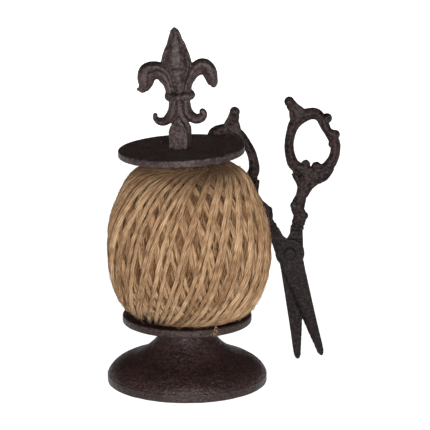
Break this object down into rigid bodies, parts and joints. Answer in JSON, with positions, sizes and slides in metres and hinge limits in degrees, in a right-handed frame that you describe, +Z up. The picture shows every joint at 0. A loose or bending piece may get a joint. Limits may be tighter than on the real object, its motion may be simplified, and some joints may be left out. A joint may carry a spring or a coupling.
{
  "type": "string holder",
  "caption": "Counter-top cast-iron string holder: bell foot, dish and leaning spindle with a ball of jute twine under a plate and fleur-de-lis finial, with cast scissors propped behind.",
  "frame": {"origin": "centre of the foot's resting rim, on the table", "axes": "+Z up, +X to the right of the finial's front, front faces -Y"},
  "size_m": [0.1664, 0.1153, 0.2538],
  "materials": {
    "cast_iron": "sand-cast, dark brown rust-bloom finish with a dull sheen",
    "steel": "plain zinc-grey fasteners",
    "jute": "natural twisted jute, matt and hairy"
  },
  "bodies": {
    "holder": {"base_bell": "cast_iron", "tray": "cast_iron", "tie_rod": "steel", "base_washer": "steel", "base_lock_washer": "steel", "base_nut": "steel", "tray_washer": "steel", "tray_nut": "steel", "spindle_sleeve": "steel"},
    "top": {"top_plate": "cast_iron"},
    "finial": {"finial": "cast_iron", "finial_retainer": "steel"},
    "twine": {"twine_core": "jute", "twine_winding": "jute"},
    "scissors": {"scissor_front_half": "cast_iron", "pivot_screw": "steel", "pivot_washer": "steel", "pivot_nut": "steel"},
    "scissor_arm": {"scissor_back_half": "cast_iron"}
  },
  "joints": [
    {"name": "twine_spin", "type": "hinge", "parent": "holder", "child": "twine", "pos_m": [0, 0, 0.1], "axis": [0, 0, 1], "continuous": true},
    {"name": "top_rise", "type": "slide", "parent": "holder", "child": "top", "axis": [-0.0419, 0, 0.9991], "range_m": [0, 0.012]},
    {"name": "finial_turn", "type": "hinge", "parent": "top", "child": "finial", "pos_m": [-0.00513, 0, 0.16889], "axis": [-0.0419, 0, 0.9991], "range_deg": [0, 4332]},
    {"name": "scissors_lift", "type": "slide", "parent": "holder", "child": "scissors", "axis": [0, 0, 1], "range_m": [0, 0.1]},
    {"name": "scissors_pivot", "type": "hinge", "parent": "scissors", "child": "scissor_arm", "pos_m": [0.0737, 0.04916, 0.08037], "axis": [0, 1, 0], "range_deg": [-13, 35]}
  ],
  "couplings": [
    {"joint": "finial_turn", "follows": "top_rise", "rad_per_m": 6283.2}
  ]
}
